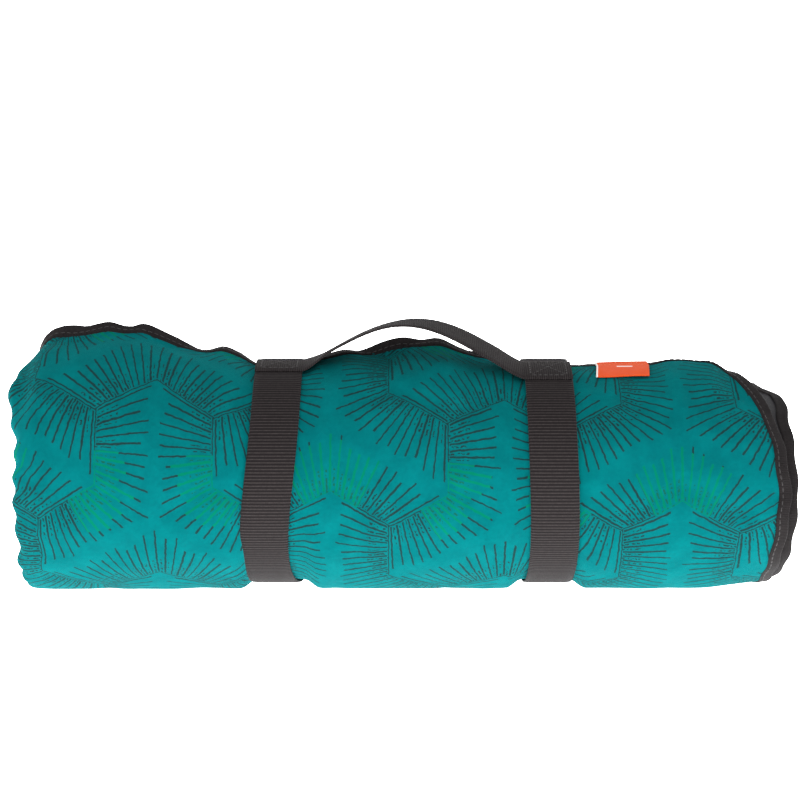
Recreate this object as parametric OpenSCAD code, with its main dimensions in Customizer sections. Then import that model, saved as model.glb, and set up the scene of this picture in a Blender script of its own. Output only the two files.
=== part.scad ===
// Camp blanket: a quilted panel folded into four plies, rolled up, and held by
// two webbing straps with a webbing carry handle sewn across them.
// The roll's axis runs along X, the carry side faces -Y and the roll rests on Z = 0.

/* [Blanket] */
// Length of the open blanket, which is the direction it is rolled in
blanket_length = 1360; // [1200:10:1500]
// Width of the open blanket, which is folded into four
blanket_width = 1600; // [1500:10:1900]
// Distance from one ply of the roll to the next
ply_pitch = 2.2; // [2.1:0.05:2.6]
// Thickness of the printed face fabric
face_t = 0.3; // [0.2:0.05:0.4]
// Thickness of the wadding, squeezed in the roll
wadding_t = 0.9; // [0.6:0.05:1]
// Thickness of the coated backing
backing_t = 0.3; // [0.2:0.05:0.4]
// Half turns from the outer end of the blanket to its inner end
half_turns = 11; // [9:2:13]
// Width of the flat that the roll rests on
roll_flat = 20; // [16:1:30]

/* [Binding] */
// Width of the edge binding on each side of the panel
binding_w = 5.5; // [4.5:0.5:10]
// Thickness of the binding tape
binding_t = 0.3; // [0.2:0.05:0.3]
// How far each ply's end lies behind the end of the ply outside it
ply_stagger = 3.3; // [2:0.1:3.3]
// How far the second ply's bound side stands past the outer one's
side_stagger = 6; // [3:0.5:12]

/* [Straps] */
// Width of the strap and handle webbing
webbing_w = 25; // [20:1:30]
// Thickness of the webbing
webbing_t = 1.3; // [1:0.1:1.6]
// Place of the left strap along the roll
strap_left_x = -65; // [-90:1:-50]
// Place of the right strap along the roll
strap_right_x = 77; // [50:1:90]
// Thickness of each hook or loop patch
patch_t = 0.7; // [0.5:0.1:1]
// Arc of the strap's closing tail, in degrees
tail_arc = 52; // [40:1:60]

/* [Handle] */
// Rise of the handle above the webbing it is sewn to
handle_rise = 22; // [16:1:30]
// Angle of the handle forward of the top of the roll, in degrees
handle_lean = 12.4; // [12.2:0.2:30]

/* [Label] */
// Width of the folded side label
label_w = 28; // [20:1:35]
// Place of the side label along the roll
label_x = 118; // [110:1:150]
// Length of the label's free flap
label_flap_l = 18; // [10:1:20]

/* [Hidden] */
$fn = 96;

teal = "#0a8c8f";
wadding_white = "#e4e4de";
backing_black = "#2a282b";
tape_black = "#2c2829";
webbing_black = "#312c2d";
patch_black = "#1d1b1c";
thread_black = "#3a3637";
label_orange = "#ee5a24";

// The folded panel
panel_t = face_t + wadding_t + backing_t;
stack_t = 3 * ply_pitch + panel_t;
turn_step = 2 * ply_pitch;
fold_x = -blanket_width / 8;
ply_2_x = blanket_width / 8 - binding_t;
ply_1_x = ply_2_x - side_stagger;
right_fold_x = ply_1_x - 3;

// The spiral is half circles about two centre lines, joined by flats at top and bottom.
// Its radius follows from the length that has to be wound on.
mean_r = (blanket_length - half_turns * roll_flat) / (PI * half_turns)
    + turn_step * (half_turns - 1) / 2;
roll_r = mean_r + turn_step;
half_flat = roll_flat / 2;

// Sewing thread, and the gap that keeps it clear of the cloth it is sewn through
thread_w = 0.5;
thread_t = 0.2;
seam_gap = 0.02;

// Distances of the strap's layers outside the roll's surface
strap_in = 0.5;
strap_out = strap_in + webbing_t;
hook_gap = 0.3;
hook_in = strap_out + patch_t + hook_gap;
tail_in = hook_in + patch_t;
tail_out = tail_in + webbing_t;

// Over the plies' ends the strap takes a quarter circle that is level with the top flat,
// and meets the roll's back at its furthest point
over_r = roll_r + turn_step;
over_y = half_flat + roll_r - turn_step - over_r;

// Angles on that quarter circle, from its lowest line
tail_root_a = 94;
tail_end_a = tail_root_a + tail_arc;
inner_end_a = tail_root_a + 4;
step_a = 2;
hinge_gap_a = 0.3;

// The whole part stands on Z = 0, centred in Y between the straps' front and the tails' root
centre_z = roll_r + strap_out;
front_y = half_flat + roll_r + strap_out;
back_y = over_y + (over_r + tail_out) * sin(tail_root_a - step_a);
centre_y = (front_y - back_y) / 2;

// The handle's free span is two root arcs and a top arc of one radius.
// Its pads stay just clear of the webbing they are sewn to.
pad_gap = 0.05;
span_from = strap_left_x + webbing_w / 2;
span_to = strap_right_x - webbing_w / 2;
span = span_to - span_from;
arc_a = 2 * atan(2 * handle_rise / span);
arc_r = span / 4 / sin(arc_a);
handle_r = roll_r + strap_out + pad_gap;
pad_a = webbing_w / (handle_r + webbing_t / 2) * 180 / PI;
grip_gap = 0.2;
label_in = 0.5;
label_t = 0.5;
label_gap = 0.3;
pad_over = 0.5;

stitch_l = 2.6;
stitch_pitch = 3.4;
stitch_inset = 3;
binding_seam = binding_w - 1.5;

function radius_of(turn) = roll_r - turn * turn_step;

// The line that a surface of the folded panel follows across the roll, as [depth, x].
// q is its distance from the panel's printed side, and the depth is from the roll's surface.
function folded(q) = [
    [q, ply_1_x],
    [q, fold_x + q],
    [stack_t - q, fold_x + q],
    [stack_t - q, right_fold_x - q],
    [2 * ply_pitch + q, right_fold_x - q],
    [2 * ply_pitch + q, fold_x + ply_pitch + panel_t - q],
    [ply_pitch + panel_t - q, fold_x + ply_pitch + panel_t - q],
    [ply_pitch + panel_t - q, ply_2_x]
];
function reversed(list) = [for (i = [len(list) - 1:-1:0]) list[i]];
function as_radius(points) = [for (p = points) [-p[0], p[1]]];

// Where each ply lies: depth of its outer surface, its ends in x, and the y of its outer end
ply_depth = [for (k = [0:3]) k * ply_pitch];
ply_left = [fold_x, fold_x + ply_pitch, fold_x + ply_pitch, fold_x];
ply_right = [ply_1_x, ply_2_x, right_fold_x, right_fold_x];
ply_end = [for (k = [0:3]) k * ply_stagger];
face_out = [true, false, true, false];

// Turns the XY plane's profiles, drawn as [radius, x], about the roll's axis direction.
// Angles run from the lowest line over the back to the top.
module about_x() rotate([0, 90, 0]) children();

module sector(from_a, to_a) {
    about_x() rotate_extrude(angle = to_a - from_a, start = from_a) children();
}

// A profile drawn as [radius, x] run along Y at the bottom of the roll, or at its top
module bottom_run(from_y, to_y) {
    translate([0, to_y, 0]) about_x() rotate([90, 0, 0])
        linear_extrude(to_y - from_y) children();
}

module top_run(from_y, to_y) {
    translate([0, from_y, 0]) rotate([180, 0, 0]) about_x() rotate([90, 0, 0])
        linear_extrude(to_y - from_y) children();
}

module front_side() translate([0, -half_flat, 0]) children();

module back_side() translate([0, half_flat, -turn_step]) children();

module over_ends() translate([0, over_y, -turn_step]) children();

// Sets the roll's own frame, with its axis at the origin, onto the part's frame
module in_place() translate([0, centre_y, centre_z]) children();

module band(r_in, r_out, x_from, x_to) {
    translate([r_in, x_from]) square([r_out - r_in, x_to - x_from]);
}

// The folded panel's section carried along the whole spiral, and over the top flat
module wound() {
    for (turn = [0:2:half_turns - 1])
        front_side() sector(180, 360) translate([radius_of(turn), 0]) children();
    for (turn = [1:2:half_turns - 1])
        back_side() sector(0, 180) translate([radius_of(turn), 0]) children();
    for (turn = [0:2:half_turns - 2])
        bottom_run(-half_flat, half_flat) translate([radius_of(turn), 0]) children();
    for (turn = [2:2:half_turns - 1])
        top_run(-half_flat, half_flat) translate([radius_of(turn), 0]) children();
    top_run(-half_flat, 0) translate([radius_of(0), 0]) children();
}

// One layer of the panel between two distances from the printed side
module layer(from_q, to_q) {
    in_place() {
        wound() polygon(as_radius(concat(folded(from_q), reversed(folded(to_q)))));
        for (k = [1:3]) {
            depth = ply_depth[k] + (face_out[k] ? from_q : panel_t - to_q);
            inset = face_out[k] ? panel_t - from_q : from_q;
            left = k == 3 ? ply_left[k] + from_q : ply_left[k] + inset;
            right = k == 1 ? ply_right[k] : ply_right[k] - from_q;
            top_run(0, ply_end[k])
                band(roll_r - depth - (to_q - from_q), roll_r - depth, left, right);
        }
    }
}

module face_sheet() color(teal) layer(0, face_t);

module wadding() color(wadding_white) layer(face_t, face_t + wadding_t);

module backing_sheet() color(backing_black) layer(face_t + wadding_t, panel_t);

// The binding's U section on a bound side edge, as [radius, x] about a depth of nought
module side_channel(depth, edge_x) {
    translate([-depth, edge_x]) difference() {
        translate([-panel_t - binding_t, -binding_w])
            square([panel_t + 2 * binding_t, binding_w + binding_t]);
        translate([-panel_t, -binding_w - 1]) square([panel_t, binding_w + 1]);
    }
}

// Both legs of the binding across a ply's end, as [radius, x]. Legs between two plies stop
// short of the folds.
module end_legs(k) {
    inner_left = fold_x + ply_pitch + panel_t + 0.5;
    inner_right = right_fold_x - panel_t - 0.5;
    right = k == 1 ? ply_2_x : k == 0 ? ply_1_x : inner_right;
    band(-ply_depth[k], -ply_depth[k] + binding_t, k == 0 ? fold_x + 1 : inner_left, right);
    band(-ply_depth[k] - panel_t - binding_t, -ply_depth[k] - panel_t,
        k == 3 ? fold_x + 1 : inner_left, k == 3 ? right_fold_x - 1 : right);
}

module end_web(k) {
    band(-ply_depth[k] - panel_t - binding_t, -ply_depth[k] + binding_t,
        ply_left[k] + 1, k < 2 ? ply_right[k] + binding_t : ply_right[k]);
}

module edge_binding() {
    inner_turn = half_turns - 1;
    core_leg_a = binding_w / radius_of(inner_turn) * 180 / PI;
    color(tape_black) in_place() {
        wound() {
            side_channel(ply_depth[0], ply_1_x);
            side_channel(ply_depth[1], ply_2_x);
        }
        top_run(0, ply_end[1]) translate([roll_r, 0]) side_channel(ply_depth[1], ply_2_x);
        for (k = [0:3]) {
            top_run(max(ply_end[k] - binding_w, -half_flat), ply_end[k])
                translate([roll_r, 0]) end_legs(k);
            top_run(ply_end[k], ply_end[k] + binding_t) translate([roll_r, 0]) end_web(k);
            front_side() sector(360 - core_leg_a, 360)
                translate([radius_of(inner_turn), 0]) end_legs(k);
            bottom_run(-half_flat, -half_flat + binding_t)
                translate([radius_of(inner_turn), 0]) end_web(k);
        }
    }
}

// The visible seam of the binding: across the outer end, and round the outer ply's side
module binding_thread() {
    seam_r = roll_r + binding_t;
    seam_x = ply_1_x - binding_seam;
    back_r = radius_of(1) + binding_t;
    color(thread_black) in_place() {
        top_run(-binding_seam, thread_w - binding_seam)
            band(seam_r, seam_r + thread_t / 2, fold_x + 2, seam_x);
        front_side() sector(182, 360)
            band(seam_r, seam_r + thread_t / 2, seam_x, seam_x + thread_w);
        bottom_run(-half_flat, half_flat)
            band(seam_r, seam_r + thread_t / 2, seam_x, seam_x + thread_w);
        back_side() sector(0, 160)
            band(back_r, back_r + thread_t / 2, seam_x, seam_x + thread_w);
    }
}

// One length of webbing round the roll. Its inner end comes over the top, and its other
// end steps up at the back to where the tail starts.
module strap(x) {
    color(webbing_black) in_place() {
        front_side() sector(180, 360) webbing_band(x, roll_r, strap_in, strap_out);
        bottom_run(-half_flat, half_flat) webbing_band(x, roll_r, strap_in, strap_out);
        top_run(-half_flat, over_y) webbing_band(x, roll_r, strap_in, strap_out);
        back_side() sector(0, 90) webbing_band(x, radius_of(1), strap_in, strap_out);
        over_ends() {
            sector(inner_end_a, 180) webbing_band(x, over_r, strap_in, strap_out);
            sector(90, tail_root_a - step_a) webbing_band(x, over_r, strap_in, strap_out);
            sector(tail_root_a - step_a, tail_root_a)
                webbing_band(x, over_r, strap_in, tail_out);
        }
    }
}

// The webbing's width, between two distances outside a surface of radius r
module webbing_band(x, r, from_d, to_d) {
    band(r + from_d, r + to_d, x - webbing_w / 2, x + webbing_w / 2);
}

// A patch or tail over the inner end of the strap
module back_patch(x, width, from_d, to_d, from_a, to_a) {
    in_place() over_ends() sector(from_a, to_a)
        band(over_r + from_d, over_r + to_d, x - width / 2, x + width / 2);
}

module loop_patch(x) {
    color(patch_black)
        back_patch(x, webbing_w - 2, strap_out, strap_out + patch_t, inner_end_a + 3, tail_end_a);
}

module hook_patch(x) {
    color(patch_black)
        back_patch(x, webbing_w - 2, hook_in, tail_in, tail_root_a + 12, tail_end_a - 2);
}

module strap_tail(x) {
    color(webbing_black)
        back_patch(x, webbing_w, tail_in, tail_out, tail_root_a + hinge_gap_a, tail_end_a);
}

// A run of separate stitches on a round surface, from one [angle, x] to another
module stitches(r, from, to) {
    arc = PI / 180 * r;
    length = norm([(to[0] - from[0]) * arc, to[1] - from[1]]);
    count = max(1, floor(length / stitch_pitch));
    turn = atan2((to[0] - from[0]) * arc, to[1] - from[1]);
    for (i = [0:count - 1]) {
        at = from + (to - from) * (i + 0.5) / count;
        about_x() rotate([0, 0, at[0]]) translate([r, 0, at[1]]) rotate([-turn, 0, 0])
            translate([0, -thread_w / 2, -stitch_l / 2]) cube([thread_t, thread_w, stitch_l]);
    }
}

module stitched_box(r, from, to, crossed) {
    stitches(r, [from[0], from[1] + 1], [from[0], to[1] - 1]);
    stitches(r, [to[0], from[1] + 1], [to[0], to[1] - 1]);
    stitches(r, from, [to[0], from[1]]);
    stitches(r, [from[0], to[1]], to);
    if (crossed) {
        inset = 2.4;
        inset_a = inset / r * 180 / PI;
        middle = (from + to) / 2;
        stitches(r, from + [inset_a, inset], middle - [inset_a, inset] / 2);
        stitches(r, middle + [inset_a, inset] / 2, to - [inset_a, inset]);
        stitches(r, [from[0] + inset_a, to[1] - inset], middle + [-inset_a, inset] / 2);
        stitches(r, middle + [inset_a, -inset] / 2, [to[0] - inset_a, from[1] + inset]);
    }
}

module tail_stitching(x) {
    half = webbing_w / 2 - stitch_inset;
    color(thread_black) in_place() over_ends()
        stitched_box(over_r + tail_out + seam_gap, [tail_root_a + 14, x - half],
            [tail_end_a - 4, x + half], false);
}

// The handle's own frame: its pads lie on the front of the roll just below the top
module on_handle_line() {
    in_place() front_side() rotate([handle_lean, 0, 0]) children();
}

// The webbing's free span in the handle's frame, as arcs in the plane of X and Z
module span_arc(x, z, from_a, to_a) {
    translate([x, 0, z]) rotate([90, 0, 0]) rotate([0, 0, from_a])
        rotate_extrude(angle = to_a - from_a)
            translate([arc_r - webbing_t / 2, -webbing_w / 2]) square([webbing_t, webbing_w]);
}

module free_span() {
    span_z = handle_r + webbing_t / 2;
    overhang_a = 4;
    span_arc(span_from, span_z + arc_r, 270, 270 + arc_a + overhang_a);
    span_arc(span_to, span_z + arc_r, 270 - arc_a - overhang_a, 270);
}

module top_span() {
    crown_z = handle_r + webbing_t / 2 + handle_rise - arc_r;
    overhang_a = 4;
    span_arc((span_from + span_to) / 2, crown_z, 90 - arc_a - overhang_a, 90 + arc_a + overhang_a);
}

module slice(from_x, to_x) {
    reach = 2 * handle_r;
    intersection() {
        children();
        translate([from_x, -webbing_w, 0]) cube([to_x - from_x, 2 * webbing_w, reach]);
    }
}

// One sewn end: a pad bent round the roll across the strap, and its share of the free span
module handle_end(x, from_x, to_x) {
    half_pad = webbing_w / 2 + pad_over;
    color(webbing_black) on_handle_line() {
        sector(180 - pad_a / 2, 180 + pad_a / 2)
            band(handle_r, handle_r + webbing_t, x - half_pad, x + half_pad);
        slice(from_x, to_x) free_span();
    }
}

module handle_grip() {
    color(webbing_black) on_handle_line()
        slice(span_from + span / 4 + grip_gap, span_to - span / 4 - grip_gap) top_span();
}

module handle_stitching(x) {
    half = webbing_w / 2 - stitch_inset;
    half_a = pad_a / 2 * half / (webbing_w / 2);
    color(thread_black) on_handle_line()
        stitched_box(handle_r + webbing_t + seam_gap, [180 - half_a, x - half],
            [180 + half_a, x + half], true);
}

module label_root() {
    color(label_orange) in_place() top_run(-half_flat + label_gap, binding_t)
        band(roll_r + label_in, roll_r + label_in + label_t,
            label_x - label_w / 2, label_x + label_w / 2);
}

module label_flap() {
    flap_a = label_flap_l / roll_r * 180 / PI;
    color(label_orange) in_place() front_side() sector(180 + hinge_gap_a, 180 + flap_a)
        band(roll_r + label_in, roll_r + label_in + label_t,
            label_x - label_w / 2, label_x + label_w / 2);
}

module label_stitching() {
    seam_r = roll_r + label_in + label_t;
    color(thread_black) in_place()
        for (y = [2 - half_flat, -2])
            top_run(y, y + thread_w) band(seam_r, seam_r + thread_t,
                label_x - label_w / 2 + 1, label_x + label_w / 2 - 1);
}

face_sheet();
wadding();
backing_sheet();
edge_binding();
binding_thread();
strap(strap_left_x);  // strap_left
strap(strap_right_x);  // strap_right
loop_patch(strap_left_x);  // loop_patch_left
loop_patch(strap_right_x);  // loop_patch_right
strap_tail(strap_left_x);  // strap_tail_left
strap_tail(strap_right_x);  // strap_tail_right
hook_patch(strap_left_x);  // hook_patch_left
hook_patch(strap_right_x);  // hook_patch_right
tail_stitching(strap_left_x);  // tail_stitching_left
tail_stitching(strap_right_x);  // tail_stitching_right
handle_end(strap_left_x, span_from, span_from + span / 4);  // handle_end_left
handle_end(strap_right_x, span_to - span / 4, span_to);  // handle_end_right
handle_grip();
handle_stitching(strap_left_x);  // handle_stitching_left
handle_stitching(strap_right_x);  // handle_stitching_right
label_root();
label_flap();
label_stitching();
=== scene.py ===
"""Looks of the rolled camp blanket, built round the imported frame."""
import math

import bpy
import numpy as np
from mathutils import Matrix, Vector, noise


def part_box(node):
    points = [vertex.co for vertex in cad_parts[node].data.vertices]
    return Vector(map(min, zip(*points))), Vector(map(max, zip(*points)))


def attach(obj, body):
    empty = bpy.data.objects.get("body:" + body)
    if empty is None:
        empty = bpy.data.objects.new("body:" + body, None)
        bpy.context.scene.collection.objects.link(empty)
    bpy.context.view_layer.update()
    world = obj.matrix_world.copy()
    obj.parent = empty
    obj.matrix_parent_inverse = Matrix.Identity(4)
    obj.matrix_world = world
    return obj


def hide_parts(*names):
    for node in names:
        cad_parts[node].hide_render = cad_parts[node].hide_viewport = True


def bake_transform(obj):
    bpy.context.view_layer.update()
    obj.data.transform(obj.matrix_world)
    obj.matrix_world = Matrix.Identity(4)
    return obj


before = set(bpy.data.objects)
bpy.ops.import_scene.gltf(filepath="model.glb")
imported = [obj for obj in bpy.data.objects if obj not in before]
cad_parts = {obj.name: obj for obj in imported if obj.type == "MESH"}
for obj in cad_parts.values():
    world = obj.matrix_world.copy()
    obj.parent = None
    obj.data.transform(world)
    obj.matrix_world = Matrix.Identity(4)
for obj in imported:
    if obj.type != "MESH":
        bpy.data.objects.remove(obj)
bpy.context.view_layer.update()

# Thicknesses and spacings of the folded panel, and how far each ply's end lies past the one above it
PLY_PITCH = 0.0022
PANEL_T = 0.0015
TURN_STEP = 2 * PLY_PITCH
STACK_T = 3 * PLY_PITCH + PANEL_T
HALF_TURNS = 11
PLY_STAGGER = 0.0033
BINDING_W = 0.0056
BINDING_T = 0.0022

# The roll's own sizes, read from the frame
ROLL_LO, ROLL_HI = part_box("face_sheet")
ROLL_R = (ROLL_HI.z - ROLL_LO.z) / 2
AXIS_Z = (ROLL_HI.z + ROLL_LO.z) / 2
FRONT_Y = ROLL_LO.y + ROLL_R
BACK_Y = ROLL_HI.y - ROLL_R + TURN_STEP
END_Y = (FRONT_Y + BACK_Y) / 2
LEFT_X = ROLL_LO.x
RIGHT_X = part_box("edge_binding")[1].x - 0.001
OUTER_RIGHT_X = RIGHT_X - 0.0045
FOLD_RIGHT_X = OUTER_RIGHT_X - 0.003

# The webbing. STRAP_D and TAIL_D are how far off the roll its middle lies, under and over the patches
STRAP_LO = {side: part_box("strap_" + side)[0] for side in ("left", "right")}
STRAP_HI = {side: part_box("strap_" + side)[1] for side in ("left", "right")}
STRAP_X = {side: (STRAP_LO[side].x + STRAP_HI[side].x) / 2 for side in STRAP_LO}
WEBBING_W = STRAP_HI["left"].x - STRAP_LO["left"].x
WEBBING_T = 0.0013
STRAP_D = 0.0005 + WEBBING_T / 2
TAIL_D = STRAP_D + 0.003
STRAP_RIB = 0.0017
HANDLE_RIB = 0.00115
OVER_R = ROLL_R + TURN_STEP
OVER_Y = BACK_Y + ROLL_R - TURN_STEP - OVER_R

# The label folded over the outer end
LABEL_LO, LABEL_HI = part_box("label_root")
LABEL_X = (LABEL_LO.x + LABEL_HI.x) / 2
LABEL_W = LABEL_HI.x - LABEL_LO.x
LABEL_T = 0.0005
LABEL_GAP = 0.0006
FLAP_L = 0.0185

# The print: hexagon cells whose centres send out fans of strokes
HEX_EDGE = 0.0346
PRINT_X = -0.1265
PRINT_V = 0.0785
PRINT_SKEW = 0.03
WOBBLE = 0.0013


# ---- small helpers

def smooth(low, high, value):
    """0 below low, 1 above high, and a smooth step between."""
    t = np.clip((value - low) / (high - low), 0.0, 1.0)
    return t * t * (3 - 2 * t)


def noise_at(x, y, z=0.0):
    """Smooth noise from -1 to 1 at arrays of points."""
    x, y = np.broadcast_arrays(np.asarray(x, float), np.asarray(y, float))
    flat = [noise.noise(Vector((a, b, z))) for a, b in zip(x.ravel(), y.ravel())]
    return np.array(flat).reshape(x.shape)


def walked(points):
    """Distance along a row of points."""
    steps = np.linalg.norm(np.diff(points, axis=0), axis=1)
    return np.concatenate([[0.0], np.cumsum(steps)])


def sampled(values, reach, places):
    """Rows of values at places along a line whose own rows lie at the distances in reach."""
    return np.column_stack([np.interp(places, reach, column) for column in values.T])


def unit(vectors):
    """The same directions with a length of one."""
    return vectors / np.maximum(np.linalg.norm(vectors, axis=1, keepdims=True), 1e-9)


def mesh_object(name, points, faces, uvs=None, materials=(), slots=None):
    """A mesh object from arrays. uvs holds one pair per vertex and slots one index per face."""
    mesh = bpy.data.meshes.new(name)
    mesh.from_pydata([tuple(p) for p in points], [], [tuple(f) for f in faces])
    for material in materials:
        mesh.materials.append(material)
    if slots is not None:
        mesh.polygons.foreach_set("material_index", np.asarray(slots, np.int32))
    if uvs is not None:
        layer = mesh.uv_layers.new(name="cloth")
        corner = np.zeros(len(mesh.loops), np.int32)
        mesh.loops.foreach_get("vertex_index", corner)
        layer.data.foreach_set("uv", np.asarray(uvs, np.float32)[corner].ravel())
    mesh.polygons.foreach_set("use_smooth", np.ones(len(mesh.polygons), bool))
    mesh.update()
    piece = bpy.data.objects.new(name, mesh)
    bpy.context.scene.collection.objects.link(piece)
    return piece


def grid_faces(rows, columns, closed=False, start=0):
    """Quads of a grid whose vertices run along each row. closed joins the last column to the first."""
    row = np.arange(rows - 1)[:, None] * columns
    column = np.arange(columns if closed else columns - 1)[None, :]
    after = (column + 1) % columns
    quads = np.stack([row + column, row + after, row + columns + after, row + columns + column], -1)
    return quads.reshape(-1, 4) + start


def slab(name, top, bottom, uvs, materials, slots=(0, 0, 0), turned=False):
    """A thin closed slab from grids of points on its two faces, with a rim between them.

    slots are the materials of top, bottom and rim. turned is for faces that would look inwards."""
    rows, columns = top.shape[:2]
    count = rows * columns
    grid = grid_faces(rows, columns)
    border = np.concatenate([
        np.arange(columns), np.arange(1, rows) * columns + columns - 1,
        (rows - 1) * columns + np.arange(columns - 1)[::-1], np.arange(1, rows - 1)[::-1] * columns,
    ])
    after = np.roll(border, -1)
    rim = np.column_stack([after, border, border + count, after + count])
    parts = (grid, grid[:, ::-1] + count, rim)
    faces = np.concatenate(parts)
    if turned:
        faces = faces[:, ::-1]
    points = np.concatenate([top.reshape(-1, 3), bottom.reshape(-1, 3)])
    uvs = np.concatenate([uvs.reshape(-1, 2)] * 2)
    return mesh_object(name, points, faces, uvs, materials, np.repeat(slots, [len(part) for part in parts]))


def swept(name, sections, uvs, material):
    """A closed skin through a row of equal sections, each a closed ring of points."""
    rows, columns = sections.shape[:2]
    faces = [tuple(f) for f in grid_faces(rows, columns, closed=True)]
    faces.append(tuple(range(columns))[::-1])
    faces.append(tuple(range((rows - 1) * columns, rows * columns)))
    return mesh_object(name, sections.reshape(-1, 3), faces, uvs.reshape(-1, 2), [material])


# ---- the wound line

ARC_STEPS = 90


def wound_line():
    """Columns v, y, z, normal y, normal z of the outer ply's surface, from the outer end inwards."""
    rows = [(END_Y, AXIS_Z + ROLL_R, 0.0, 1.0)]
    for turn in range(HALF_TURNS):
        radius = ROLL_R - turn * TURN_STEP
        front = turn % 2 == 0
        centre_y = FRONT_Y if front else BACK_Y
        centre_z = AXIS_Z if front else AXIS_Z - TURN_STEP
        for step in range(ARC_STEPS + 1):
            angle = math.pi * (0.5 + turn + step / ARC_STEPS)
            out_y, out_z = math.cos(angle), math.sin(angle)
            rows.append((centre_y + radius * out_y, centre_z + radius * out_z, out_y, out_z))
    rows = np.array(rows)
    return np.column_stack([walked(rows[:, :2]), rows])


WOUND = wound_line()
WOUND_LENGTH = WOUND[-1, 0]
# How far one whole turn goes: the outer end's row, and two half turns
TURN_V = WOUND[1 + 2 * (ARC_STEPS + 1), 0]


def on_wound_line(v):
    """Place and outward normal at v along the roll. Below nought the line runs on over the top."""
    y = np.interp(v, WOUND[:, 0], WOUND[:, 1]) - np.minimum(v, 0.0)
    z, out_y, out_z = (np.interp(v, WOUND[:, 0], WOUND[:, column]) for column in (2, 3, 4))
    size = np.hypot(out_y, out_z)
    return y, z, out_y / size, out_z / size


# ---- how the soft roll swells

def outline(x, points):
    """A smooth curve through a few given points."""
    places, heights = (np.array(column) for column in zip(*points))
    index = np.clip(np.searchsorted(places, x) - 1, 0, len(places) - 2)
    share = np.clip((x - places[index]) / (places[index + 1] - places[index]), 0, 1)
    share = share * share * (3 - 2 * share)
    return heights[index] + (heights[index + 1] - heights[index]) * share


LEFT_EDGE = STRAP_X["left"] - WEBBING_W / 2
MIDDLE_FROM = STRAP_X["left"] + WEBBING_W / 2
MIDDLE_TO = STRAP_X["right"] - WEBBING_W / 2
RIGHT_EDGE = STRAP_X["right"] + WEBBING_W / 2

# How far the roll's top stands above its height at the straps, along the roll
TOP_SWELL = (
    (LEFT_X, 0.003), (LEFT_X + 0.014, 0.012), (LEFT_X + 0.058, 0.0135), (LEFT_EDGE - 0.022, 0.005),
    (LEFT_EDGE, 0.0), (MIDDLE_FROM, 0.0), (MIDDLE_FROM + 0.030, 0.0032), (MIDDLE_FROM + 0.072, 0.0070),
    (MIDDLE_TO - 0.022, 0.002), (MIDDLE_TO, -0.001), (RIGHT_EDGE, -0.001), (RIGHT_EDGE + 0.03, -0.0005),
    (RIGHT_X - 0.038, 0.0005), (RIGHT_X - 0.018, -0.003), (RIGHT_X, -0.009),
)
# How far the free outer end turns up off the roll, in degrees
END_TURN = (
    (LEFT_X, 45), (LEFT_X + 0.058, 62), (LEFT_X + 0.076, 20), (LEFT_EDGE - 0.008, 16), (LEFT_EDGE, 0),
    (MIDDLE_FROM, 0), (MIDDLE_FROM + 0.012, 14), (MIDDLE_FROM + 0.045, 52), (MIDDLE_TO - 0.022, 26),
    (MIDDLE_TO, 0), (RIGHT_EDGE, 0), (RIGHT_EDGE + 0.012, 3), (RIGHT_X - 0.05, 4), (RIGHT_X, 0),
)


def clear_of_straps(x):
    """0 under the straps and 1 away from them."""
    gaps = [np.abs(x - place) for place in STRAP_X.values()]
    return smooth(WEBBING_W / 2 + 0.0008, WEBBING_W / 2 + 0.009, np.minimum(*gaps))


def clear_of_label(x, v):
    """0 under the label and 1 away from it."""
    beside = smooth(LABEL_W / 2, LABEL_W / 2 + 0.012, np.abs(x - LABEL_X))
    below = smooth(FLAP_L + 0.012, FLAP_L + 0.03, v)
    return np.maximum(beside, below)


def pinch(x, out_z):
    """How far the underside of the roll is drawn in at the straps and the right end, and sags between."""
    gaps = [np.abs(x - place) for place in STRAP_X.values()]
    near = 1 - smooth(WEBBING_W / 2, WEBBING_W / 2 + 0.009, np.minimum(*gaps))
    under = smooth(-0.15, -0.95, out_z)
    end_lift = 0.0040 * smooth(RIGHT_X - 0.045, RIGHT_X, x)
    return under * (0.0036 * near - 0.0010 * (1 - near) + end_lift)


def hex_gap(a, b):
    """Distance from a point of the cloth to the nearest quilting line, as a share of the cell."""
    inner = HEX_EDGE * math.sqrt(3) / 2
    best = np.full(np.shape(a), 9.0)
    nearest = np.full(np.shape(a), 0.0)
    for shift in (0, 1):
        row_a = a - shift * inner
        row_b = b - shift * 1.5 * HEX_EDGE
        cell_a = row_a - np.round(row_a / (2 * inner)) * 2 * inner
        cell_b = row_b - np.round(row_b / (3 * HEX_EDGE)) * 3 * HEX_EDGE
        reach = np.maximum(np.abs(cell_a), np.abs(cell_a) / 2 + np.abs(cell_b) * math.sqrt(3) / 2)
        nearest = np.where(reach < best, reach, nearest)
        best = np.minimum(best, reach)
    return np.clip(1 - nearest / inner, 0.0, 1.0)


def print_place(x, v):
    """The print's own coordinates at a place on the outer ply, in metres."""
    return x - PRINT_X, PRINT_V - v


def relief(x, v):
    """How far the outer ply stands out: padded cells between quilting lines, and small creases."""
    a, b = print_place(x, v)
    pad = 0.0016 * (1 - np.exp(-hex_gap(a, b) * 5.0))
    creases = 0.0013 * noise_at(x * 42, v * 34) + 0.0012 * noise_at(x * 80, v * 60, 4.0)
    return pad + creases


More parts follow.
